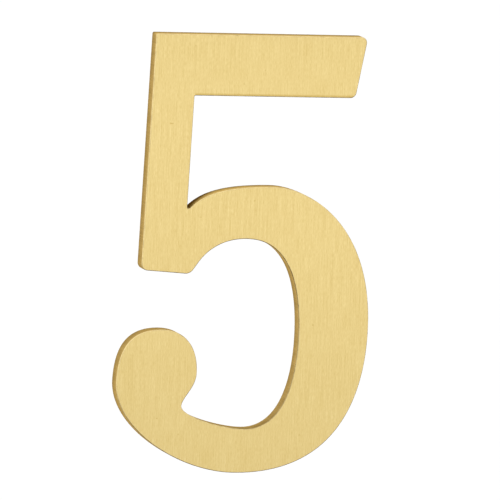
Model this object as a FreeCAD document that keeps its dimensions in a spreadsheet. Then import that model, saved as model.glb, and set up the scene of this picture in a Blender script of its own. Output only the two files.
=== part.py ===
import FreeCAD, Part
import math
import os
from enum import IntEnum, auto

import Sketcher
from FreeCAD import Vector

# A door number: the numeral 5, profiled in one piece from brass plate and fixed from behind.
# Millimetres, with X across the face, Y into the door and Z up.
# The back lies in the plane Y = 0 and the brushed face looks along -Y.
# The origin is midway between the two stud holes, at mid height and mid width of the numeral.

NODE = "door_number"

# Driving sizes. "across" is measured from the left limit of the ball and "up" from the lowest
# point of the bowl. A "pull" is the length of the straight lead with which a curve leaves a
# node, as on a drawn letter: the longer the lead, the flatter the curve stays beside the node.
SIZES = {
    # the plate
    "overall_height": 101.6,
    "overall_width": 60.45,
    "plate_thickness": 3.0,
    "edge_round": 0.2,
    # stem and bar
    "stem_inset": 4.3,
    "stem_width": 10.15,
    "bar_depth": 14.15,
    "bar_reach": 51.4,
    "bar_overhang": 2.15,
    "top_corner_round": 0.4,
    "upper_tip_round": 1.35,
    "lower_tip_round": 1.45,
    "inner_corner_round": 0.3,
    # foot of the stem and the heel that rises from it
    "foot_up": 46.95,
    "foot_width": 11.9,
    "foot_drop": 0.8,
    "foot_left_round": 1.5,
    "foot_right_round": 2.0,
    "heel_run": 1.8,
    "heel_rise": 2.65,
    "heel_pull": 2.0,
    # outside of the bowl, from the ball round to the notch beside the stem
    "ball_left_up": 20.95,
    "ball_left_pull_up": 9.0,
    "ball_left_pull_down": 10.9,
    "bowl_bottom_across": 30.2,
    "bowl_bottom_pull_left": 13.65,
    "bowl_bottom_pull_right": 23.95,
    "bowl_right_up": 32.6,
    "bowl_right_pull_down": 15.85,
    "bowl_right_pull_up": 25.7,
    "bowl_top_across": 34.9,
    "bowl_top_up": 66.6,
    "bowl_top_pull_right": 9.05,
    "bowl_top_pull_left": 12.55,
    "notch_up": 60.7,
    "notch_pull_across": 3.05,
    "notch_pull_up": 3.6,
    "notch_round": 0.45,
    # inside of the bowl, set off from the outside by the width of the stroke
    "shoulder_stroke": 12.15,
    "bowl_stroke": 16.9,
    "base_stroke": 10.25,
    "counter_top_across": 29.4,
    "counter_top_pull_left": 6.75,
    "counter_top_pull_right": 11.55,
    "counter_right_up": 30.7,
    "counter_right_pull_up": 10.9,
    "counter_right_pull_down": 7.9,
    "counter_bottom_across": 31.85,
    "counter_bottom_pull_right": 10.0,
    "counter_bottom_pull_left": 5.0,
    # neck and ball
    "neck_across": 16.2,
    "neck_up": 15.45,
    "neck_pull_down": 2.45,
    "neck_pull_up": 2.0,
    "ball_width": 19.4,
    "ball_right_up": 23.1,
    "ball_right_pull_down": 3.45,
    "ball_right_pull_up": 5.25,
    "ball_top_across": 10.25,
    "ball_top_up": 33.2,
    "ball_top_pull_right": 6.5,
    "ball_top_pull_left": 6.5,
    # blind holes for the fixing studs, drilled for an M3 thread
    "stud_inset": 6.35,
    "stud_bore": 2.5,
    "stud_chamfer": 0.3,
    "stud_floor": 1.0,
}

# The straight run of the outline, from the notch up the stem and round to the heel:
# each edge by the corner that it starts from and the corner that it ends at.
EDGES = {
    "stem_right": ("notch", "inner_corner"),
    "bar_under": ("inner_corner", "lower_tip"),
    "bar_end": ("lower_tip", "upper_tip"),
    "bar_top": ("upper_tip", "top_corner"),
    "stem_left": ("top_corner", "foot_left"),
    "foot": ("foot_left", "foot_right"),
    "heel": ("foot_right", "heel"),
}
LEVEL_EDGES = ("bar_under", "bar_top")
UPRIGHT_EDGES = ("stem_right", "stem_left")
ROUNDED_CORNERS = ("inner_corner", "lower_tip", "upper_tip", "top_corner", "foot_left", "foot_right")
MEASURED_CORNERS = ("lower_tip", "upper_tip", "foot_left", "foot_right")

# The curved run, from the heel round the counter, the ball and the bowl to the notch:
# each curve by its two nodes and the way its lead points at each.
CURVES = (
    ("heel", "along", "counter_top", "left"),
    ("counter_top", "right", "counter_right", "up"),
    ("counter_right", "down", "counter_bottom", "right"),
    ("counter_bottom", "left", "neck", "down"),
    ("neck", "up", "ball_right", "down"),
    ("ball_right", "up", "ball_top", "right"),
    ("ball_top", "left", "ball_left", "up"),
    ("ball_left", "down", "bowl_bottom", "left"),
    ("bowl_bottom", "right", "bowl_right", "down"),
    ("bowl_right", "up", "bowl_top", "right"),
    ("bowl_top", "left", "notch", "along"),
)
WAYS = {
    "left": Vector(-1, 0, 0),
    "right": Vector(1, 0, 0),
    "up": Vector(0, 1, 0),
    "down": Vector(0, -1, 0),
}

SHEET = "sizes"
POLES = 4
MOUTH_ANGLE = 90
TOUCH = 1e-4


class Spot(IntEnum):
    """The points of a line, an arc or a circle, in the order in which a sketch numbers them."""

    START = auto()
    END = auto()
    CENTRE = auto()


class Axis(IntEnum):
    """The axes that every sketch has, as it numbers them."""

    LEVEL = -1
    UPRIGHT = -2


SKETCH_ORIGIN = (Axis.LEVEL, Spot.START)


def fill_sheet(document):
    """Write the driving sizes to a spreadsheet, one named cell each."""
    sheet = document.addObject("Spreadsheet::Sheet", SHEET)
    for row, (name, value) in enumerate(SIZES.items(), start=1):
        sheet.set(f"A{row}", name)
        sheet.set(f"B{row}", str(value))
        sheet.setAlias(f"B{row}", name)
    document.recompute()


def find_spots():
    """Place every node and sharp corner of the outline in the sketch, where Z is drawn as Y."""
    left = -SIZES["overall_width"] / 2
    base = -SIZES["overall_height"] / 2
    stem_left = left + SIZES["stem_inset"]
    stem_right = stem_left + SIZES["stem_width"]
    bar_top = base + SIZES["overall_height"]
    bar_under = bar_top - SIZES["bar_depth"]
    tip = stem_left + SIZES["bar_reach"]
    foot_up = base + SIZES["foot_up"]
    foot_right = Vector(stem_left + SIZES["foot_width"], foot_up - SIZES["foot_drop"], 0)
    bowl_right = left + SIZES["overall_width"]
    bowl_top = base + SIZES["bowl_top_up"]
    return {
        "datum": Vector(left, base, 0),
        "notch": Vector(stem_right, base + SIZES["notch_up"], 0),
        "inner_corner": Vector(stem_right, bar_under, 0),
        "lower_tip": Vector(tip - SIZES["bar_overhang"], bar_under, 0),
        "upper_tip": Vector(tip, bar_top, 0),
        "top_corner": Vector(stem_left, bar_top, 0),
        "foot_left": Vector(stem_left, foot_up, 0),
        "foot_right": foot_right,
        "heel": foot_right + Vector(SIZES["heel_run"], SIZES["heel_rise"], 0),
        "counter_top": Vector(left + SIZES["counter_top_across"], bowl_top - SIZES["shoulder_stroke"], 0),
        "counter_right": Vector(bowl_right - SIZES["bowl_stroke"], base + SIZES["counter_right_up"], 0),
        "counter_bottom": Vector(left + SIZES["counter_bottom_across"], base + SIZES["base_stroke"], 0),
        "neck": Vector(left + SIZES["neck_across"], base + SIZES["neck_up"], 0),
        "ball_right": Vector(left + SIZES["ball_width"], base + SIZES["ball_right_up"], 0),
        "ball_top": Vector(left + SIZES["ball_top_across"], base + SIZES["ball_top_up"], 0),
        "ball_left": Vector(left, base + SIZES["ball_left_up"], 0),
        "bowl_bottom": Vector(left + SIZES["bowl_bottom_across"], base, 0),
        "bowl_right": Vector(bowl_right, base + SIZES["bowl_right_up"], 0),
        "bowl_top": Vector(left + SIZES["bowl_top_across"], bowl_top, 0),
    }


def find_lead(node, way):
    """Give the lead of a curve at a node, from the node to the end of the lead."""
    if node == "notch":
        return Vector(SIZES["notch_pull_across"], SIZES["notch_pull_up"], 0)
    if node == "heel":
        return Vector(SIZES["heel_run"], SIZES["heel_rise"], 0) * (SIZES["heel_pull"] / SIZES["heel_rise"])
    return WAYS[way] * SIZES[f"{node}_pull_{way}"]


class RoundedCorner:
    """The arc that rounds a corner of the straight run."""

    def __init__(self, before, corner, after, radius):
        into = (corner - before).normalize()
        out = (after - corner).normalize()
        turn = math.atan2(into.x * out.y - into.y * out.x, into.dot(out))
        reach = radius * math.tan(abs(turn) / 2)
        self.entry = corner - into * reach
        self.leave = corner + out * reach
        side = math.copysign(radius, turn)
        centre = self.entry + Vector(-into.y, into.x, 0) * side
        first = math.atan2(self.entry.y - centre.y, self.entry.x - centre.x)
        last = math.atan2(self.leave.y - centre.y, self.leave.x - centre.x)
        circle = Part.Circle(centre, Vector(0, 0, 1), radius)
        if turn > 0:
            self.arc = Part.ArcOfCircle(circle, first, last)
            self.entry_end, self.leave_end = Spot.START, Spot.END
        else:
            self.arc = Part.ArcOfCircle(circle, last, first)
            self.entry_end, self.leave_end = Spot.END, Spot.START


class Outline:
    """The numeral's outline as one closed sketch, with every size bound to the sheet."""

    def __init__(self, sketch):
        self.sketch = sketch
        self.spots = find_spots()
        self.edges = {}
        self.marks = {}
        self.leads = {}
        self.rules = []
        self.formulas = []

    def draw(self):
        """Draw the straight run and the curved run, join them and set their sizes."""
        self.draw_point("datum")
        self.draw_edges()
        self.draw_curves()
        self.size_edges()
        self.size_curves()
        first = self.sketch.ConstraintCount
        self.sketch.addConstraint(self.rules)
        for place, formula in self.formulas:
            self.sketch.setExpression(f"Constraints[{first + place}]", formula)

    def tie(self, kind, *places):
        """Add a constraint that holds without a size."""
        self.rules.append(Sketcher.Constraint(kind, *places))

    def bind(self, name, kind, *places):
        """Add a constraint whose size is read from the sheet."""
        self.formulas.append((len(self.rules), f"{SHEET}.{name}"))
        self.rules.append(Sketcher.Constraint(kind, *places, SIZES[name]))

    def halve(self, name, kind, *places):
        """Add a constraint whose size is half of one in the sheet."""
        self.formulas.append((len(self.rules), f"{SHEET}.{name} / 2"))
        self.rules.append(Sketcher.Constraint(kind, *places, SIZES[name] / 2))

    def across(self, name, start, end):
        """Set how far one mark lies to the right of another."""
        self.bind(name, "DistanceX", *self.marks[start], *self.marks[end])

    def up(self, name, start, end):
        """Set how far one mark lies above another."""
        self.bind(name, "DistanceY", *self.marks[start], *self.marks[end])

    def draw_point(self, name):
        """Draw a point that sizes are measured to, and that isn't part of the outline."""
        point = self.sketch.addGeometry(Part.Point(self.spots[name]), True)
        self.marks[name] = (point, Spot.START)

    def draw_edges(self):
        """Draw the straight edges and the arcs that round the corners between them."""
        before = {end: start for start, end in EDGES.values()}
        after = {start: end for start, end in EDGES.values()}
        corners = {}
        for name in ROUNDED_CORNERS:
            around = (self.spots[before[name]], self.spots[name], self.spots[after[name]])
            corners[name] = RoundedCorner(*around, SIZES[f"{name}_round"])
        for name, (start, end) in EDGES.items():
            first = corners[start].leave if start in corners else self.spots[start]
            last = corners[end].entry if end in corners else self.spots[end]
            self.edges[name] = self.sketch.addGeometry(Part.LineSegment(first, last), False)
        arriving = {end: self.edges[name] for name, (start, end) in EDGES.items()}
        leaving = {start: self.edges[name] for name, (start, end) in EDGES.items()}
        for name, corner in corners.items():
            arc = self.sketch.addGeometry(corner.arc, False)
            self.tie("Tangent", arriving[name], Spot.END, arc, corner.entry_end)
            self.tie("Tangent", leaving[name], Spot.START, arc, corner.leave_end)
            self.bind(f"{name}_round", "Radius", arc)
        for name in MEASURED_CORNERS:
            self.draw_point(name)
            self.tie("PointOnObject", *self.marks[name], arriving[name])
            self.tie("PointOnObject", *self.marks[name], leaving[name])
        self.marks["notch"] = (self.edges["stem_right"], Spot.START)
        self.marks["heel"] = (self.edges["heel"], Spot.END)
        for name in ("bar_under", "bar_top", "stem_left"):
            self.marks[name] = (self.edges[name], Spot.START)

    def draw_curves(self):
        """Draw the curved run, each curve starting where the one before it ends."""
        last_mark = self.marks["heel"]
        for start, start_way, end, end_way in CURVES:
            first, last = self.spots[start], self.spots[end]
            poles = [first, first + find_lead(start, start_way), last + find_lead(end, end_way), last]
            shape = Part.BSplineCurve()
            shape.buildFromPolesMultsKnots(poles, [POLES, POLES], [0, 1], False, POLES - 1)
            curve = self.sketch.addGeometry(shape, False)
            self.sketch.exposeInternalGeometry(curve)
            self.tie("Coincident", *last_mark, curve, Spot.START)
            _, leaving, arriving, _ = range(curve + 1, curve + 1 + POLES)
            self.leads[start, start_way] = (leaving, Spot.CENTRE)
            self.leads[end, end_way] = (arriving, Spot.CENTRE)
            self.marks.setdefault(start, (curve, Spot.START))
            self.marks.setdefault(end, (curve, Spot.END))
            last_mark = (curve, Spot.END)
        self.tie("Coincident", *last_mark, *self.marks["notch"])

    def size_edges(self):
        """Set the lie and the sizes of the straight run."""
        for name in LEVEL_EDGES:
            self.tie("Horizontal", self.edges[name])
        for name in UPRIGHT_EDGES:
            self.tie("Vertical", self.edges[name])
        self.halve("overall_width", "DistanceX", *self.marks["datum"], *SKETCH_ORIGIN)
        self.halve("overall_height", "DistanceY", *self.marks["datum"], *SKETCH_ORIGIN)
        self.up("overall_height", "datum", "bar_top")
        self.up("bar_depth", "bar_under", "bar_top")
        self.across("stem_inset", "datum", "stem_left")
        self.across("stem_width", "stem_left", "notch")
        self.across("bar_reach", "stem_left", "upper_tip")
        self.across("bar_overhang", "lower_tip", "upper_tip")
        self.up("foot_up", "datum", "foot_left")
        self.across("foot_width", "foot_left", "foot_right")
        self.up("foot_drop", "foot_right", "foot_left")
        self.across("heel_run", "foot_right", "heel")
        self.up("heel_rise", "foot_right", "heel")

    def size_curves(self):
        """Set the nodes and the leads of the curved run."""
        self.tie("Vertical", *self.marks["datum"], *self.marks["ball_left"])
        self.tie("Horizontal", *self.marks["datum"], *self.marks["bowl_bottom"])
        self.across("overall_width", "datum", "bowl_right")
        self.across("bowl_stroke", "counter_right", "bowl_right")
        self.across("ball_width", "ball_left", "ball_right")
        self.up("shoulder_stroke", "counter_top", "bowl_top")
        self.up("base_stroke", "bowl_bottom", "counter_bottom")
        for node in ("bowl_bottom", "bowl_top", "counter_top", "counter_bottom", "neck", "ball_top"):
            self.across(f"{node}_across", "datum", node)
        for node in ("ball_left", "bowl_right", "bowl_top", "notch", "counter_right", "neck", "ball_right"):
            self.up(f"{node}_up", "datum", node)
        self.up("ball_top_up", "datum", "ball_top")
        for (node, way), lead in self.leads.items():
            self.size_lead(node, way, lead)

    def size_lead(self, node, way, lead):
        """Point one lead and set its length."""
        mark = self.marks[node]
        if node == "notch":
            self.bind("notch_pull_across", "DistanceX", *mark, *lead)
            self.bind("notch_pull_up", "DistanceY", *mark, *lead)
        elif node == "heel":
            self.tie("PointOnObject", *lead, self.edges["heel"])
            self.bind("heel_pull", "DistanceY", *mark, *lead)
        else:
            level = way in ("left", "right")
            ends = (*mark, *lead) if way in ("right", "up") else (*lead, *mark)
            self.tie("Horizontal" if level else "Vertical", *mark, *lead)
            self.bind(f"{node}_pull_{way}", "DistanceX" if level else "DistanceY", *ends)


def origin_plane(body, role):
    """Find one of the body's own base planes."""
    return next(plane for plane in body.Origin.OriginFeatures if plane.Role == role)


def new_sketch(body, name):
    """Start a sketch in the plane of the numeral's back."""
    sketch = body.newObject("Sketcher::SketchObject", name)
    sketch.AttachmentSupport = [(origin_plane(body, "XZ_Plane"), "")]
    sketch.MapMode = "FlatFace"
    return sketch


def cut_plate(body):
    """Profile the plate: the outline, carried from the back to the brushed face."""
    sketch = new_sketch(body, "outline")
    Outline(sketch).draw()
    plate = body.newObject("PartDesign::Pad", "plate")
    plate.Profile = sketch
    plate.setExpression("Length", f"{SHEET}.plate_thickness")
    body.Document.recompute()


def round_notch(body):
    """Leave the cutter's radius in the sharp notch between the stem and the bowl."""
    plate = body.Tip
    notch = find_spots()["notch"]
    upright = next(
        f"Edge{index}"
        for index, edge in enumerate(plate.Shape.Edges, start=1)
        if all(Vector(vertex.X, vertex.Z, 0).isEqual(notch, TOUCH) for vertex in edge.Vertexes)
    )
    cutter = body.newObject("PartDesign::Fillet", "notch")
    cutter.Base = (plate, [upright])
    cutter.setExpression("Radius", f"{SHEET}.notch_round")
    body.Document.recompute()


def round_face_edge(body):
    """Take the sharpness off the edge all round the brushed face."""
    plate = body.Tip
    faces = plate.Shape.Faces
    front = min(range(len(faces)), key=lambda index: faces[index].CenterOfMass.y)
    edge = body.newObject("PartDesign::Fillet", "face_edge")
    edge.Base = (plate, [f"Face{front + 1}"])
    edge.setExpression("Radius", f"{SHEET}.edge_round")
    body.Document.recompute()


def hole_circle(height):
    """Draw a stud hole's circle on the upright centre line."""
    return Part.Circle(Vector(0, height, 0), Vector(0, 0, 1), SIZES["stud_bore"] / 2)


def drill_stud_holes(body):
    """Drill two blind holes in the back, one in the bar and one in the base of the bowl."""
    sketch = new_sketch(body, "stud_places")
    rise = SIZES["overall_height"] / 2 - SIZES["stud_inset"]
    upper, lower = (sketch.addGeometry(hole_circle(height), False) for height in (rise, -rise))
    rules = [
        Sketcher.Constraint("Diameter", upper, SIZES["stud_bore"]),
        Sketcher.Constraint("DistanceY", *SKETCH_ORIGIN, upper, Spot.CENTRE, rise),
        Sketcher.Constraint("PointOnObject", upper, Spot.CENTRE, Axis.UPRIGHT),
        Sketcher.Constraint("Symmetric", upper, Spot.CENTRE, lower, Spot.CENTRE, *SKETCH_ORIGIN),
        Sketcher.Constraint("Equal", upper, lower),
    ]
    sketch.addConstraint(rules)
    sketch.setExpression("Constraints[0]", f"{SHEET}.stud_bore")
    sketch.setExpression("Constraints[1]", f"{SHEET}.overall_height / 2 - {SHEET}.stud_inset")
    body.Document.recompute()

    solid = body.Tip.Shape.Volume
    studs = body.newObject("PartDesign::Hole", "stud_holes")
    studs.Profile = sketch
    studs.Reversed = True
    studs.ThreadType = "None"
    studs.DepthType = "Dimension"
    studs.DrillPoint = "Flat"
    studs.HoleCutType = "Countersink"
    studs.HoleCutCountersinkAngle = MOUTH_ANGLE
    studs.setExpression("Diameter", f"{SHEET}.stud_bore")
    studs.setExpression("Depth", f"{SHEET}.plate_thickness - {SHEET}.stud_floor")
    studs.setExpression("HoleCutDiameter", f"{SHEET}.stud_bore + 2 * {SHEET}.stud_chamfer")
    body.Document.recompute()
    if studs.Shape.Volume >= solid:
        raise RuntimeError("the stud holes cut nothing")


def check(document, body):
    """Stop if any feature failed or the finished shape isn't one sound solid."""
    for item in document.Objects:
        if "Invalid" in item.State or "Error" in item.State:
            raise RuntimeError(f"{item.Label} failed: {item.State}")
    shape = body.Shape
    if shape.isNull() or not shape.isValid() or len(shape.Solids) != 1:
        raise RuntimeError(f"{body.Label} isn't one sound solid")


def main():
    """Build the numeral and write its solid."""
    document = FreeCAD.newDocument("door_number")
    fill_sheet(document)
    body = document.addObject("PartDesign::Body", NODE)
    body.Label = NODE
    cut_plate(body)
    round_notch(body)
    round_face_edge(body)
    drill_stud_holes(body)
    check(document, body)
    os.makedirs("parts", exist_ok=True)
    body.Shape.exportStep(os.path.join("parts", f"{body.Label}.step"))


main()
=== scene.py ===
"""Looks of a brass door number: a figure 5 cut from plate, with its finishes, light and camera."""

import logging
import math
from dataclasses import dataclass
from enum import IntEnum
from typing import Any

import bmesh
import bpy
from bmesh.types import BMEdge, BMesh, BMFace, BMVert
from mathutils import Color, Matrix, Vector

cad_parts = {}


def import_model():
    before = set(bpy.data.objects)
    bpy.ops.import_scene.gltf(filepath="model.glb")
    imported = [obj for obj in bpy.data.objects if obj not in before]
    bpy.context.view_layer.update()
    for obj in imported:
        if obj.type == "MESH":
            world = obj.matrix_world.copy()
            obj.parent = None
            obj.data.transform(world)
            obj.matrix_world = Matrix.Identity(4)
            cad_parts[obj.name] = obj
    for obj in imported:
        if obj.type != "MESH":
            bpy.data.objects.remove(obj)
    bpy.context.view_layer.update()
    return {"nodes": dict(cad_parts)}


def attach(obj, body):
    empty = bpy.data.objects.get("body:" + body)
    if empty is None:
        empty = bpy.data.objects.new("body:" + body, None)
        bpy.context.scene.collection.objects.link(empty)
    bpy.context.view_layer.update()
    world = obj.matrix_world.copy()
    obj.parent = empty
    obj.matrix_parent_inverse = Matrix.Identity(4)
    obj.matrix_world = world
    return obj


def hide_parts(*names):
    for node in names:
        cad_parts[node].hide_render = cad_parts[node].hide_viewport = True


Colour = tuple[int, int, int]
Plan = tuple[float, float]
Size = tuple[float, float, float]
Worked = tuple[bpy.types.NodeSocket, bpy.types.NodeSocket]

LOG = logging.getLogger("door_number")
# Lengths are in metres; those of Node, StudHole and Numeral are in millimetres, turned by MM.
MM = 0.001
# Points closer than this are one point.
TOUCH = 0.001 * MM
# A grain this long runs straight through the plate.
THROUGH = 1.0
FULL_LEVEL = 255
NOISE_MEAN = 0.5
DARKEST, BRIGHTEST = -0.5, 0.5
CAD_NODE = "door_number"
BODY = "root"
NO_LEAD: Plan = (0.0, 0.0)
OUT_OF_BACK = Vector((0.0, 1.0, 0.0))


class Surface(IntEnum):
    """The surfaces of the numeral, in the order of its material slots."""

    FACE = 0
    RIM = 1
    EDGE = 2
    BACK = 3
    HOLE = 4


def linear(colour: Colour) -> tuple[float, float, float, float]:
    """Turn a colour as it looks on a screen into the shader's linear values.

    Args:
        colour: Red, green and blue from 0 to 255.

    Returns:
        Linear red, green and blue, with full opacity.
    """
    red, green, blue = Color([part / FULL_LEVEL for part in colour]).from_srgb_to_scene_linear()
    return red, green, blue, 1.0


class Board:
    """The node tree of a material or of the world, with short ways to add and join nodes."""

    def __init__(self, owner: bpy.types.Material | bpy.types.World) -> None:
        """Start an empty tree.

        Args:
            owner: The material or world whose tree this is.
        """
        owner.use_nodes = True
        self.tree = owner.node_tree
        self.tree.nodes.clear()

    def add(self, kind: str, settings: dict[str, Any] | None = None, **inputs: Any) -> bpy.types.Node:
        """Add a node.

        Args:
            kind: Blender's name for the node, without the common prefix.
            settings: The node's own properties.
            inputs: Input values or sockets by name, with underscores for blanks.

        Returns:
            The new node.
        """
        node = self.tree.nodes.new(f"ShaderNode{kind}")
        for name, value in (settings or {}).items():
            setattr(node, name, value)
        for name, value in inputs.items():
            self.feed(node.inputs[name.replace("_", " ")], value)
        return node

    def feed(self, socket: bpy.types.NodeSocket, value: Any) -> None:
        """Set an input, or join it to another node's output.

        Args:
            socket: The input.
            value: A plain value or an output socket.
        """
        if isinstance(value, bpy.types.NodeSocket):
            self.tree.links.new(value, socket)
        else:
            socket.default_value = value

    def math(self, operation: str, first: Any, second: Any = 0.0) -> bpy.types.NodeSocket:
        """Work out a number from two others.

        Args:
            operation: Blender's name for the operation.
            first: The first number or socket.
            second: The second number or socket.

        Returns:
            The result's socket.
        """
        node = self.add("Math", {"operation": operation})
        self.feed(node.inputs[0], first)
        self.feed(node.inputs[1], second)
        return node.outputs[0]

    def span(self, value: Any, low: Plan, high: Plan) -> bpy.types.NodeSocket:
        """Carry a range of numbers over to another range, and hold it there.

        Args:
            value: The number or socket that is carried over.
            low: The lower end before and after.
            high: The upper end before and after.

        Returns:
            The result's socket.
        """
        node = self.add("MapRange", {"clamp": True}, Value=value)
        node.inputs["From Min"].default_value, node.inputs["To Min"].default_value = low
        node.inputs["From Max"].default_value, node.inputs["To Max"].default_value = high
        return node.outputs["Result"]

    def grain(
        self, place: Any, size: Size, turn: float = 0.0, detail: float = 2.0
    ) -> bpy.types.NodeSocket:
        """Make an even noise whose grains have the given size along each axis.

        Args:
            place: The coordinates that the noise lies on.
            size: The length of a grain along X, Y and Z, in metres.
            turn: How far the grains lean over in the plane of the face, in radians.
            detail: How many finer layers the noise has.

        Returns:
            The noise's socket, with values around zero.
        """
        lean = (0.0, turn, 0.0)
        lie = self.add("Mapping", {"vector_type": "TEXTURE"}, Vector=place, Rotation=lean, Scale=size)
        noise = self.add("TexNoise", Vector=lie.outputs["Vector"], Scale=1.0, Detail=detail)
        return self.math("SUBTRACT", noise.outputs["Fac"], NOISE_MEAN)

    def speckle(self, place: Any, size: float, detail: float = 2.0) -> bpy.types.NodeSocket:
        """Make an even noise whose grains are as long along every axis."""
        return self.grain(place, (size, size, size), detail=detail)

    def facing(self) -> bpy.types.NodeOutputs:
        """Tell which way the surface faces on the object, as its shares along X, Y and Z."""
        return self.add("SeparateXYZ", Vector=self.add("TexCoord").outputs["Normal"]).outputs

    def near(self, place: Any, spot: Size, inner: float, outer: float) -> bpy.types.NodeSocket:
        """Tell how near the surface is to a spot.

        Args:
            place: The coordinates on the object.
            spot: The spot, in the same coordinates.
            inner: The distance within which the result is 1, in metres.
            outer: The distance beyond which the result is 0, in metres.

        Returns:
            The result's socket.
        """
        away = self.add("VectorMath", {"operation": "DISTANCE"})
        self.feed(away.inputs[0], place)
        self.feed(away.inputs[1], spot)
        return self.span(away.outputs["Value"], (inner, 1.0), (outer, 0.0))

    def total(self, *parts: tuple[bpy.types.NodeSocket, float]) -> bpy.types.NodeSocket:
        """Add up numbers, each with its own weight.

        Args:
            parts: The sockets of the numbers, with their weights.

        Returns:
            The sum's socket.
        """
        sums = [self.math("MULTIPLY", socket, weight) for socket, weight in parts]
        while len(sums) > 1:
            sums.append(self.math("ADD", sums.pop(0), sums.pop(0)))
        return sums[0]

    def blend(self, share: Any, low: Any, high: Any) -> bpy.types.NodeSocket:
        """Blend two colours.

        Args:
            share: How much of the second colour there is, from 0 to 1.
            low: The first colour or socket.
            high: The second colour or socket.

        Returns:
            The blended colour's socket.
        """
        node = self.add("Mix", {"data_type": "RGBA", "blend_type": "MIX"})
        for name, value in (("Factor_Float", share), ("A_Color", low), ("B_Color", high)):
            self.feed(next(i for i in node.inputs if i.identifier == name), value)
        return next(o for o in node.outputs if o.identifier == "Result_Color")


@dataclass(frozen=True)
class Finish:
    """A brass surface: a darker and a brighter tone, and the gloss that goes with each."""

    name: str
    dark: Colour
    bright: Colour
    glancing: Colour
    dull: float
    shiny: float
    anisotropy: float = 0.0

    def material(self) -> bpy.types.Material:
        """Make the material.

        Returns:
            The new material.
        """
        material = bpy.data.materials.new(self.name)
        board = Board(material)
        place = board.add("TexCoord").outputs["Object"]
        tone, relief = self.work(board, place)
        share = board.span(tone, (DARKEST, 0.0), (BRIGHTEST, 1.0))
        shader = board.add(
            "BsdfPrincipled",
            Base_Color=board.blend(share, linear(self.dark), linear(self.bright)),
            Metallic=1.0,
            Roughness=board.span(tone, (DARKEST, self.dull), (BRIGHTEST, self.shiny)),
            Specular_Tint=linear(self.glancing),
            Anisotropic=self.anisotropy,
            Normal=relief,
        )
        board.add("OutputMaterial", Surface=shader.outputs["BSDF"])
        return material

    def work(self, board: Board, place: bpy.types.NodeSocket) -> Worked:
        """Work the surface; each finish does this in its own way.

        Args:
            board: The material's node tree.
            place: The coordinates on the object.

        Returns:
            The tone from DARKEST to BRIGHTEST, and the surface's relief.
        """
        raise NotImplementedError

    @staticmethod
    def relief(board: Board, height: bpy.types.NodeSocket, depth: float) -> bpy.types.NodeSocket:
        """Raise the surface by a height.

        Args:
            board: The material's node tree.
            height: The height's socket.
            depth: How high one unit of it stands, in metres.

        Returns:
            The relief's socket.
        """
        return board.add("Bump", Height=height, Distance=depth, Strength=1.0).outputs["Normal"]


@dataclass(frozen=True)
class Hairline:
    """One size of brush line, in metres, with its share of the tone."""

    width: float
    length: float
    share: float


@dataclass(frozen=True)
class BrushedFace(Finish):
    """The face: brushed along the stem, so that fine lines show in tone, gloss and relief."""

    name: str = "brushed_brass_face"
    dark: Colour = (206, 178, 105)
    bright: Colour = (235, 215, 155)
    glancing: Colour = (196, 170, 112)
    dull: float = 0.48
    shiny: float = 0.32
    anisotropy: float = 0.5
    lean: float = math.radians(-1.8)
    hairlines: tuple[Hairline, ...] = (
        Hairline(0.1 * MM, 0.9 * MM, 0.95),
        Hairline(0.13 * MM, 4.5 * MM, 0.8),
        Hairline(0.2 * MM, 20.0 * MM, 0.55),
    )
    cloud: float = 12.0 * MM
    cloud_share: float = 0.12
    pit: float = 0.9 * MM
    pit_onset: float = 0.36
    pit_full: float = 0.42
    pit_share: float = 0.5
    # Painted shade: a dark line on the face just under the bar's lower edge; its height, start, blend,
    # reach and weight.
    bar_under: float = 36.65 * MM
    bar_start: float = -15.5 * MM
    bar_blend: float = 0.3 * MM
    line_inner: float = 0.2 * MM
    line_outer: float = 0.7 * MM
    line_share: float = 0.7
    groove: float = 0.008 * MM

    def work(self, board: Board, place: bpy.types.NodeSocket) -> Worked:
        """Draw the brush lines, a faint cloudiness, a few pits and a painted shade line under the bar.

        Args:
            board: The material's node tree.
            place: The coordinates on the object.

        Returns:
            The tone and the relief.
        """
        brushed = (
            (board.grain(place, (hair.width, THROUGH, hair.length), self.lean), hair.share)
            for hair in self.hairlines
        )
        lines = board.total(*brushed)
        cloud = board.speckle(place, self.cloud)
        specks = board.speckle(place, self.pit, detail=0.0)
        pits = board.span(specks, (self.pit_onset, 0.0), (self.pit_full, 1.0))
        where = board.add("SeparateXYZ", Vector=place).outputs
        # Painted shade under the bar, strongest at its lower edge and gone within a fraction of a
        # millimetre.
        above = board.math("ABSOLUTE", board.math("SUBTRACT", where["Z"], self.bar_under))
        line = board.span(above, (self.line_inner, 1.0), (self.line_outer, 0.0))
        along = board.span(where["X"], (self.bar_start - self.bar_blend, 0.0), (self.bar_start, 1.0))
        under = board.math("MULTIPLY", line, along)
        tone = board.total(
            (lines, 1.0), (cloud, self.cloud_share), (pits, -self.pit_share), (under, -self.line_share)
        )
        return tone, self.relief(board, lines, self.groove)


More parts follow.
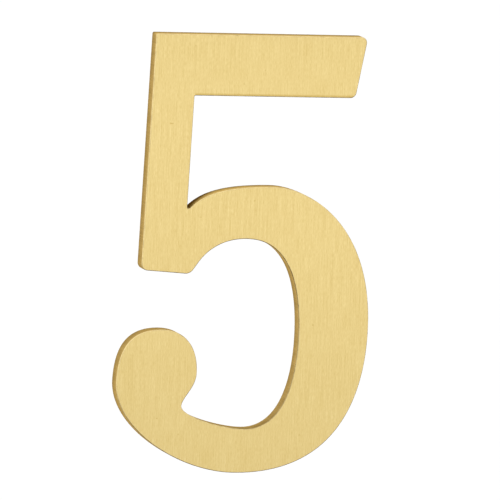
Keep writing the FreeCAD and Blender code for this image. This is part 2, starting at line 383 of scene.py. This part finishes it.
@dataclass(frozen=True)
class WornRimWithPaintedLightAndShade(Finish):
    """The rounded rim of the face, where the brush ran off and hands have dulled it unevenly.

    Its tone is lifted all round and carries painted light and shade by the way it faces: painted shade
    to the right, painted light upwards, painted shade underneath and painted shade inside the bowl.
    """

    name: str = "worn_brass_rim_with_painted_light_and_shade"
    dark: Colour = (104, 84, 50)
    bright: Colour = (252, 228, 164)
    glancing: Colour = (140, 112, 64)
    dull: float = 0.5
    shiny: float = 0.34
    wear: float = 1.4 * MM
    wear_detail: float = 3.0
    wear_share: float = 0.8
    nick: float = 0.25 * MM
    nick_share: float = 0.4
    lift: float = 0.12
    # Weights of the painted light and shade: darker to the right, lighter upwards, darker underneath and
    # darker inside the bowl.
    painted_shade_right: float = 0.28
    painted_light_up: float = 0.45
    painted_shade_down: float = 0.65
    hollow: Size = (5.0 * MM, 0.0, -22.0 * MM)
    hollow_inner: float = 19.0 * MM
    hollow_outer: float = 24.0 * MM
    painted_shade_in_bowl: float = 0.5
    depth: float = 0.01 * MM

    def work(self, board: Board, place: bpy.types.NodeSocket) -> Worked:
        """Wear the rim in patches, with small nicks, and paint light and shade on it by the way it
        faces.

        Args:
            board: The material's node tree.
            place: The coordinates on the object.

        Returns:
            The tone and the relief.
        """
        wear = board.speckle(place, self.wear, self.wear_detail)
        nick = board.speckle(place, self.nick)
        across, _, up = board.facing()
        under = board.math("MINIMUM", up, 0.0)
        worn = board.total((wear, self.wear_share), (nick, self.nick_share))
        # Mask of the rim that faces inwards inside the bowl, where painted shade darkens it.
        ledge = board.math("MAXIMUM", up, 0.0)
        inward = board.math("SUBTRACT", board.math("MINIMUM", across, 0.0), ledge)
        inside = board.near(place, self.hollow, self.hollow_inner, self.hollow_outer)
        hollow = board.math("MULTIPLY", inward, inside)
        # Painted light and shade by the way the rim faces.
        turned = board.total(
            (across, -self.painted_shade_right),
            (up, self.painted_light_up),
            (under, self.painted_shade_down),
            (hollow, self.painted_shade_in_bowl),
        )
        tone = board.math("ADD", board.math("ADD", worn, turned), self.lift)
        return tone, self.relief(board, nick, self.depth)


@dataclass(frozen=True)
class CutEdge(Finish):
    """The cut edge of the plate: darker towards the back, and streaked through by the cutter.

    A ledge is a part that faces up. It has painted shade where it lies low and painted light where it
    lies high.
    """

    name: str = "cut_brass_edge"
    dark: Colour = (106, 79, 40)
    bright: Colour = (250, 217, 142)
    glancing: Colour = (192, 174, 137)
    dull: float = 0.7
    shiny: float = 0.4
    streak: Size = (0.2 * MM, 5.0 * MM, 0.2 * MM)
    streak_share: float = 0.35
    mottle: float = 2.0 * MM
    mottle_detail: float = 3.0
    mottle_share: float = 0.3
    middle: float = -1.5 * MM
    fade: float = 80.0
    # Painted shade: a darkening round the notch where the stem meets the shoulder.
    notch: Size = (-15.0 * MM, 0.0, 11.5 * MM)
    notch_reach: float = 7.0 * MM
    # Painted shade on ledges low down and painted light on ledges high up, changing towards the back.
    ledge_low: float = -45.0 * MM
    ledge_high: float = 15.0 * MM
    high_ledge_painted_light: float = -1.1
    notch_painted_shade: float = 0.7
    low_ledge_painted_shade: float = 0.12
    ledge_fade: float = 200.0
    depth: float = 0.014 * MM

    def work(self, board: Board, place: bpy.types.NodeSocket) -> Worked:
        """Streak the edge from front to back, darken it towards the back, and paint shade into the notch
        and onto low ledges and light onto high ledges.

        Args:
            board: The material's node tree.
            place: The coordinates on the object.

        Returns:
            The tone and the relief.
        """
        streak = board.grain(place, self.streak)
        mottle = board.speckle(place, self.mottle, self.mottle_detail)
        where = board.add("SeparateXYZ", Vector=place).outputs
        behind = board.math("SUBTRACT", where["Y"], self.middle)
        # Painted shade in the notch.
        notch = board.near(place, self.notch, 0.0, self.notch_reach)
        # Painted shade on low ledges and painted light on high ledges, by height and by how far back
        # they lie.
        low = board.span(where["Z"], (self.ledge_low, 1.0), (self.ledge_high, self.high_ledge_painted_light))
        _, _, up = board.facing()
        ledge = board.math("MULTIPLY", board.math("MAXIMUM", up, 0.0), low)
        faded = board.math("MULTIPLY", ledge, behind)
        tone = board.total(
            (streak, self.streak_share),
            (mottle, self.mottle_share),
            (behind, -self.fade),
            (notch, -self.notch_painted_shade),
            (ledge, -self.low_ledge_painted_shade),
            (faded, self.ledge_fade),
        )
        return tone, self.relief(board, streak, self.depth)


@dataclass(frozen=True)
class RolledBack(Finish):
    """The back as the plate was rolled: faint rolling lines, dull patches and a few scuffs."""

    name: str = "rolled_brass_back"
    dark: Colour = (186, 154, 88)
    bright: Colour = (230, 203, 134)
    glancing: Colour = (176, 150, 98)
    dull: float = 0.56
    shiny: float = 0.36
    line: Size = (14.0 * MM, THROUGH, 0.35 * MM)
    line_share: float = 0.9
    patch: float = 7.0 * MM
    patch_detail: float = 4.0
    patch_share: float = 0.65
    scuff: Size = (0.3 * MM, THROUGH, 5.0 * MM)
    scuff_turn: float = math.radians(34)
    scuff_onset: float = 0.16
    scuff_full: float = 0.26
    scuff_share: float = 0.3
    depth: float = 0.006 * MM

    def work(self, board: Board, place: bpy.types.NodeSocket) -> Worked:
        """Draw the rolling lines, the patches and the scuffs.

        Args:
            board: The material's node tree.
            place: The coordinates on the object.

        Returns:
            The tone and the relief.
        """
        line = board.grain(place, self.line)
        patch = board.speckle(place, self.patch, self.patch_detail)
        scratch = board.grain(place, self.scuff, self.scuff_turn)
        scuff = board.span(scratch, (self.scuff_onset, 0.0), (self.scuff_full, 1.0))
        tone = board.total(
            (line, self.line_share), (patch, self.patch_share), (scuff, -self.scuff_share)
        )
        return tone, self.relief(board, line, self.depth)


@dataclass(frozen=True)
class Node:
    """A node of the outline, in millimetres across and up, with the leads of its two curves."""

    across: float
    up: float
    lead_in: Plan = NO_LEAD
    lead_out: Plan = NO_LEAD
    rounding: float = 0.0

    def spot(self, offset: Plan = NO_LEAD) -> Vector:
        """Give the node's place on the back of the plate, moved by an offset in millimetres."""
        return Vector((self.across + offset[0], 0.0, self.up + offset[1])) * MM


FIGURE = (
    Node(-15.775, 9.9, lead_in=(3.05, 3.6), rounding=0.45),
    Node(-15.775, 36.65, rounding=0.3),
    Node(23.325, 36.65, rounding=1.45),
    Node(25.475, 50.8, rounding=1.35),
    Node(-25.925, 50.8, rounding=0.4),
    Node(-25.925, -3.85, rounding=1.5),
    Node(-14.025, -4.65, rounding=2.0),
    Node(-12.225, -2.0, lead_out=(1.3585, 2.0)),
    Node(-0.825, 3.65, lead_in=(-6.75, 0.0), lead_out=(11.55, 0.0)),
    Node(13.325, -20.1, lead_in=(0.0, 10.9), lead_out=(0.0, -7.9)),
    Node(1.625, -40.55, lead_in=(10.0, 0.0), lead_out=(-5.0, 0.0)),
    Node(-14.025, -35.35, lead_in=(0.0, -2.45), lead_out=(0.0, 2.0)),
    Node(-10.825, -27.7, lead_in=(0.0, -3.45), lead_out=(0.0, 5.25)),
    Node(-19.975, -17.6, lead_in=(6.5, 0.0), lead_out=(-6.5, 0.0)),
    Node(-30.225, -29.85, lead_in=(0.0, 9.0), lead_out=(0.0, -10.9)),
    Node(-0.025, -50.8, lead_in=(-13.65, 0.0), lead_out=(23.95, 0.0)),
    Node(30.225, -18.2, lead_in=(0.0, -15.85), lead_out=(0.0, 25.7)),
    Node(4.675, 15.8, lead_in=(9.05, 0.0), lead_out=(-12.55, 0.0)),
)


@dataclass(frozen=True)
class StudHole:
    """A blind tapped hole in the back for a fixing stud, in millimetres."""

    up: float
    mouth: float = 3.1
    bore: float = 3.0
    crest: float = 2.5
    depth: float = 2.0
    chamfer: float = 0.05
    pitch: float = 0.5
    crest_flat: float = 0.125
    root_flat: float = 0.06
    first_turn: float = 0.4
    turns: float = 2.6
    sunk: float = 0.02
    sides: int = 48

    def centre(self) -> Vector:
        """Give the middle of the hole's mouth."""
        return Vector((0.0, 0.0, self.up)) * MM

    def mark(self, mesh: BMesh) -> list[BMEdge]:
        """Draw the mouth of the hole on the back.

        Args:
            mesh: The numeral's mesh.

        Returns:
            The edges round the mouth.
        """
        place = Matrix.Translation(self.centre()) @ Matrix.Rotation(math.pi / 2, 4, "X")
        ring = bmesh.ops.create_circle(
            mesh, cap_ends=False, segments=self.sides, radius=self.mouth / 2 * MM, matrix=place
        )
        return list({edge for vert in ring["verts"] for edge in vert.link_edges})

    def sink(self, mesh: BMesh, ring: list[BMEdge]) -> list[BMFace]:
        """Sink the hole from its mouth: the chamfer, the wall and the flat bottom.

        Args:
            mesh: The numeral's mesh.
            ring: The edges round the mouth.

        Returns:
            The faces of the hole.
        """
        faces: list[BMFace] = []
        for drop, widen in ((self.chamfer, self.bore / self.mouth), (self.depth - self.chamfer, 1.0)):
            grown = bmesh.ops.extrude_edge_only(mesh, edges=ring)["geom"]
            verts = [item for item in grown if isinstance(item, BMVert)]
            faces += [item for item in grown if isinstance(item, BMFace)]
            ring = [
                item
                for item in grown
                if isinstance(item, BMEdge) and all(vert in verts for vert in item.verts)
            ]
            about = Matrix.Translation(-self.centre())
            bmesh.ops.scale(mesh, vec=(widen, 1.0, widen), space=about, verts=verts)
            bmesh.ops.translate(mesh, vec=-OUT_OF_BACK * drop * MM, verts=verts)
        bottom = bmesh.ops.contextual_create(mesh, geom=ring)["faces"]
        return faces + bottom

    def cut_thread(self, mesh: BMesh) -> list[BMFace]:
        """Wind the ridge of the thread round the wall of the hole.

        Args:
            mesh: The numeral's mesh.

        Returns:
            The faces of the ridge.
        """
        before = set(mesh.faces)
        wide = (self.pitch - self.root_flat) / 2
        narrow = self.crest_flat / 2
        foot, tip = self.bore / 2 + self.sunk, self.crest / 2
        section = ((foot, -wide), (tip, -narrow), (tip, narrow), (foot, wide))
        verts = [
            mesh.verts.new(self.centre() + Vector((out, along - self.first_turn, 0.0)) * MM)
            for out, along in section
        ]
        start = mesh.faces.new(verts)
        steps = round(self.turns * self.sides)
        bmesh.ops.spin(
            mesh,
            geom=[start, *start.edges, *verts],
            cent=self.centre(),
            axis=OUT_OF_BACK,
            dvec=-OUT_OF_BACK * self.pitch / self.sides * MM,
            angle=math.tau * self.turns,
            steps=steps,
            use_merge=False,
            use_duplicate=False,
        )
        return [face for face in mesh.faces if face not in before]


@dataclass
class Numeral:
    """The figure itself: its outline cut through the plate, the worn rim and the tapped holes behind."""

    thickness: float = 3.0
    rim: float = 0.2
    rim_steps: int = 5
    curve_steps: int = 40
    corner_steps: int = 8
    corner_clear: float = 1.1
    sharp_angle: float = math.radians(40)
    outline: tuple[Node, ...] = FIGURE
    holes: tuple[StudHole, ...] = (StudHole(up=44.45), StudHole(up=-44.45))
    finishes: tuple[Finish, ...] = (
        BrushedFace(),
        WornRimWithPaintedLightAndShade(),
        CutEdge(),
        RolledBack(),
        CutEdge(name="tapped_brass_hole"),
    )

    def build(self) -> bpy.types.Object:
        """Model the numeral and dress it.

        Returns:
            The finished piece, at the origin.
        """
        mesh = bmesh.new()
        self.draw_plate(mesh)
        self.round_corners(mesh)
        self.thicken(mesh)
        self.soften_rim(mesh)
        self.close_back(mesh)
        self.sharpen(mesh)
        piece = self.to_object(mesh)
        self.dress(piece)
        return piece

    def draw_plate(self, mesh: BMesh) -> None:
        """Draw the outline as one curve and fill it with a single face, on the back of the plate.

        Args:
            mesh: The empty mesh that takes the face.
        """
        curve = bpy.data.curves.new("outline", "CURVE")
        curve.dimensions = "3D"
        spline = curve.splines.new("BEZIER")
        spline.bezier_points.add(len(self.outline) - 1)
        spline.use_cyclic_u = True
        spline.resolution_u = self.curve_steps
        for point, node in zip(spline.bezier_points, self.outline):
            point.co = node.spot()
            point.handle_left_type = "VECTOR" if node.lead_in == NO_LEAD else "FREE"
            point.handle_right_type = "VECTOR" if node.lead_out == NO_LEAD else "FREE"
            point.handle_left = node.spot(node.lead_in)
            point.handle_right = node.spot(node.lead_out)
        drawing = bpy.data.objects.new("outline", curve)
        flat = bpy.data.meshes.new_from_object(drawing)
        mesh.from_mesh(flat)
        bpy.data.objects.remove(drawing)
        bpy.data.curves.remove(curve)
        bpy.data.meshes.remove(flat)
        bmesh.ops.remove_doubles(mesh, verts=mesh.verts, dist=TOUCH)
        bmesh.ops.contextual_create(mesh, geom=mesh.edges[:])

    def round_corners(self, mesh: BMesh) -> None:
        """Round the corners of the outline, each by its own radius.

        Args:
            mesh: The mesh with the filled outline.
        """
        for node in (node for node in self.outline if node.rounding):
            corner = min(mesh.verts, key=lambda vert: (vert.co - node.spot()).length)
            first, second = (edge.other_vert(corner).co - corner.co for edge in corner.link_edges)
            reach = node.rounding * MM / math.tan(first.angle(second) / 2)
            clear = reach * self.corner_clear
            close = [
                vert
                for vert in mesh.verts
                if vert is not corner and (vert.co - corner.co).length < clear
            ]
            bmesh.ops.dissolve_verts(mesh, verts=close)
            bmesh.ops.bevel(
                mesh,
                geom=[corner],
                offset=reach,
                offset_type="OFFSET",
                segments=self.corner_steps,
                profile=0.5,
                affect="VERTICES",
                material=-1,
            )

    def thicken(self, mesh: BMesh) -> None:
        """Carry the outline from the back to the face of the plate.

        Args:
            mesh: The mesh with the filled outline.
        """
        grown = bmesh.ops.extrude_face_region(mesh, geom=mesh.faces[:])["geom"]
        verts = [item for item in grown if isinstance(item, BMVert)]
        bmesh.ops.translate(mesh, vec=-OUT_OF_BACK * self.thickness * MM, verts=verts)
        for face in mesh.faces:
            face.material_index = Surface.EDGE

    def soften_rim(self, mesh: BMesh) -> None:
        """Round the rim of the face.

        Args:
            mesh: The thickened plate.
        """
        front = min(mesh.faces, key=lambda face: face.calc_center_median().y)
        front.material_index = Surface.FACE
        rim = bmesh.ops.bevel(
            mesh,
            geom=list(front.edges),
            offset=self.rim * MM,
            offset_type="OFFSET",
            segments=self.rim_steps,
            profile=0.5,
            affect="EDGES",
            material=-1,
        )
        for face in rim["faces"]:
            face.material_index = Surface.RIM

    def close_back(self, mesh: BMesh) -> None:
        """Fill the back round the mouths of the holes, and sink and tap the holes.

        Args:
            mesh: The plate with its rim rounded.
        """
        behind = [face for face in mesh.faces if all(abs(vert.co.y) < TOUCH for vert in face.verts)]
        bmesh.ops.delete(mesh, geom=behind, context="FACES_ONLY")
        edges = [edge for edge in mesh.edges if edge.is_boundary]
        rings = [hole.mark(mesh) for hole in self.holes]
        for ring in rings:
            edges += ring
        back = bmesh.ops.triangle_fill(mesh, use_beauty=True, edges=edges, normal=OUT_OF_BACK)
        for item in back["geom"]:
            if isinstance(item, BMFace):
                item.material_index = Surface.BACK
        for hole, ring in zip(self.holes, rings):
            for face in hole.sink(mesh, ring) + hole.cut_thread(mesh):
                face.material_index = Surface.HOLE
        bmesh.ops.recalc_face_normals(mesh, faces=mesh.faces)

    def sharpen(self, mesh: BMesh) -> None:
        """Shade the curved surfaces smooth and keep the square edges sharp.

        Args:
            mesh: The finished mesh.
        """
        for face in mesh.faces:
            face.smooth = True
        for edge in mesh.edges:
            edge.smooth = len(edge.link_faces) == 2 and edge.calc_face_angle() < self.sharp_angle

    def to_object(self, mesh: BMesh) -> bpy.types.Object:
        """Turn the mesh into an object with true shading on its flat surfaces.

        Args:
            mesh: The finished mesh, which is freed.

        Returns:
            The new object.
        """
        data = bpy.data.meshes.new("numeral")
        mesh.to_mesh(data)
        mesh.free()
        piece = bpy.data.objects.new("numeral", data)
        bpy.context.scene.collection.objects.link(piece)
        normals = piece.modifiers.new("flat_surfaces", "WEIGHTED_NORMAL")
        normals.keep_sharp = True
        return piece

    def dress(self, piece: bpy.types.Object) -> None:
        """Give every surface its finish.

        Args:
            piece: The numeral's object.
        """
        for finish in self.finishes:
            piece.data.materials.append(finish.material())


@dataclass(frozen=True)
class Softbox:
    """A soft lamp of the studio, in metres and watts."""

    name: str
    place: Size
    aim: Size
    width: float
    height: float
    power: float

    def set_up(self) -> bpy.types.Object:
        """Place the lamp and turn it to what it lights.

        Returns:
            The lamp's object.
        """
        data = bpy.data.lights.new(self.name, "AREA")
        data.shape = "RECTANGLE"
        data.size = self.width
        data.size_y = self.height
        data.energy = self.power
        lamp = bpy.data.objects.new(self.name, data)
        bpy.context.scene.collection.objects.link(lamp)
        lamp.location = self.place
        lamp.rotation_euler = (Vector(self.aim) - Vector(self.place)).to_track_quat("-Z", "Y").to_euler()
        lamp.visible_camera = False
        return lamp


@dataclass(frozen=True)
class KeyLight:
    """A broad light from one side, which casts the shadow on the floor and leaves the metal alone."""

    name: str = "key"
    height: float = math.radians(52)
    turn: float = math.radians(-24)
    spread: float = math.radians(16)
    strength: float = 1.1

    def set_up(self) -> bpy.types.Object:
        """Hang the light.

        Returns:
            The light's object.
        """
        data = bpy.data.lights.new(self.name, "SUN")
        data.angle = self.spread
        data.energy = self.strength
        light = bpy.data.objects.new(self.name, data)
        bpy.context.scene.collection.objects.link(light)
        light.rotation_euler = (math.pi / 2 - self.height, 0.0, self.turn)
        light.visible_glossy = False
        return light


@dataclass
class Studio:
    """A white studio: a pale floor under the numeral, an even world and soft lamps."""

    floor_drop: float = 0.13
    floor_reach: float = 9.0
    floor_sides: int = 64
    floor_colour: Colour = (240, 240, 240)
    floor_glow: float = 0.25
    ambient: float = 0.62
    lamps: tuple[Softbox | KeyLight, ...] = (
        Softbox("strip", (0.1, -0.28, -0.014), (0.0, 0.0, 0.025), 0.4, 0.1, 0.043),
        KeyLight(),
    )

    def build(self) -> bpy.types.Object:
        """Set the stage.

        Returns:
            The floor.
        """
        floor = self.lay_floor()
        self.light_world()
        for lamp in self.lamps:
            lamp.set_up()
        return floor

    @staticmethod
    def seen(board: Board) -> bpy.types.NodeSocket:
        """Tell what the camera and clear reflections see from what only gives light.

        Args:
            board: The node tree that asks.

        Returns:
            A socket that is 1 for what is seen and 0 for what only lights.
        """
        path = board.add("LightPath").outputs
        shiny = board.math("MAXIMUM", path["Is Glossy Ray"], path["Is Transmission Ray"])
        return board.math("MAXIMUM", path["Is Camera Ray"], shiny)

    def lay_floor(self) -> bpy.types.Object:
        """Lay the pale floor.

        Returns:
            The floor's object.
        """
        mesh = bmesh.new()
        place = Matrix.Translation((0.0, 0.0, -self.floor_drop))
        bmesh.ops.create_circle(
            mesh, cap_ends=True, segments=self.floor_sides, radius=self.floor_reach, matrix=place
        )
        data = bpy.data.meshes.new("floor")
        mesh.to_mesh(data)
        mesh.free()
        floor = bpy.data.objects.new("floor", data)
        bpy.context.scene.collection.objects.link(floor)
        material = bpy.data.materials.new("pale_floor")
        board = Board(material)
        matt = board.add("BsdfDiffuse", Color=linear(self.floor_colour))
        glow = board.add("Emission", Strength=board.math("MULTIPLY", self.seen(board), self.floor_glow))
        both = board.add("AddShader")
        board.feed(both.inputs[0], matt.outputs["BSDF"])
        board.feed(both.inputs[1], glow.outputs["Emission"])
        board.add("OutputMaterial", Surface=both.outputs["Shader"])
        data.materials.append(material)
        return floor

    def light_world(self) -> None:
        """Light the studio evenly, with a white surround for what is seen."""
        world = bpy.data.worlds.new("studio")
        board = Board(world)
        strength = board.span(self.seen(board), (0.0, self.ambient), (1.0, 1.0))
        light = board.add("Background", Color=(1.0, 1.0, 1.0, 1.0), Strength=strength)
        board.add("OutputWorld", Surface=light.outputs["Background"])
        bpy.context.scene.world = world


@dataclass(frozen=True)
class Viewpoint:
    """The camera's stand: a long lens a little to the left of the numeral and above it."""

    aim: Size = (1.16 * MM, 0.0, 0.632 * MM)
    distance: float = 2.7529
    turn: float = math.radians(19.84)
    drop: float = math.radians(8.63)
    roll: float = math.radians(3.8)
    lens: float = 864.0
    sensor: float = 36.0
    near: float = 0.1
    far: float = 50.0

    def set_up(self) -> bpy.types.Object:
        """Place the camera and make it the scene's own.

        Returns:
            The camera's object.
        """
        level, steep = math.cos(self.drop), math.sin(self.drop)
        ahead = Vector((math.sin(self.turn) * level, math.cos(self.turn) * level, -steep))
        right = Vector((math.cos(self.turn), -math.sin(self.turn), 0.0))
        over = right.cross(ahead)
        turned = right * math.cos(self.roll) + over * math.sin(self.roll)
        upright = over * math.cos(self.roll) - right * math.sin(self.roll)
        data = bpy.data.cameras.new("camera")
        data.sensor_width = self.sensor
        data.lens = self.lens
        data.clip_start = self.near
        data.clip_end = self.far
        camera = bpy.data.objects.new("camera", data)
        bpy.context.scene.collection.objects.link(camera)
        stand = Matrix((turned, upright, -ahead)).transposed().to_4x4()
        stand.translation = Vector(self.aim) - ahead * self.distance
        camera.matrix_world = stand
        bpy.context.scene.camera = camera
        return camera


def main() -> None:
    """Build the numeral, its stage and its camera, and log the frame's nodes and the numeral's face
    count.
    """
    logging.basicConfig(level=logging.INFO, format="%(name)s: %(message)s")
    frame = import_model()
    LOG.info("frame: %s", ", ".join(frame["nodes"]))
    bpy.context.scene.view_settings.view_transform = "Standard"
    numeral = Numeral().build()
    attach(numeral, BODY)
    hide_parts(CAD_NODE)
    LOG.info("numeral: %d faces", len(numeral.data.polygons))
    floor = Studio().build()
    LOG.info("floor laid and lamps set")
    Viewpoint().set_up()
    LOG.info("camera set")


if __name__ == "__main__":
    main()
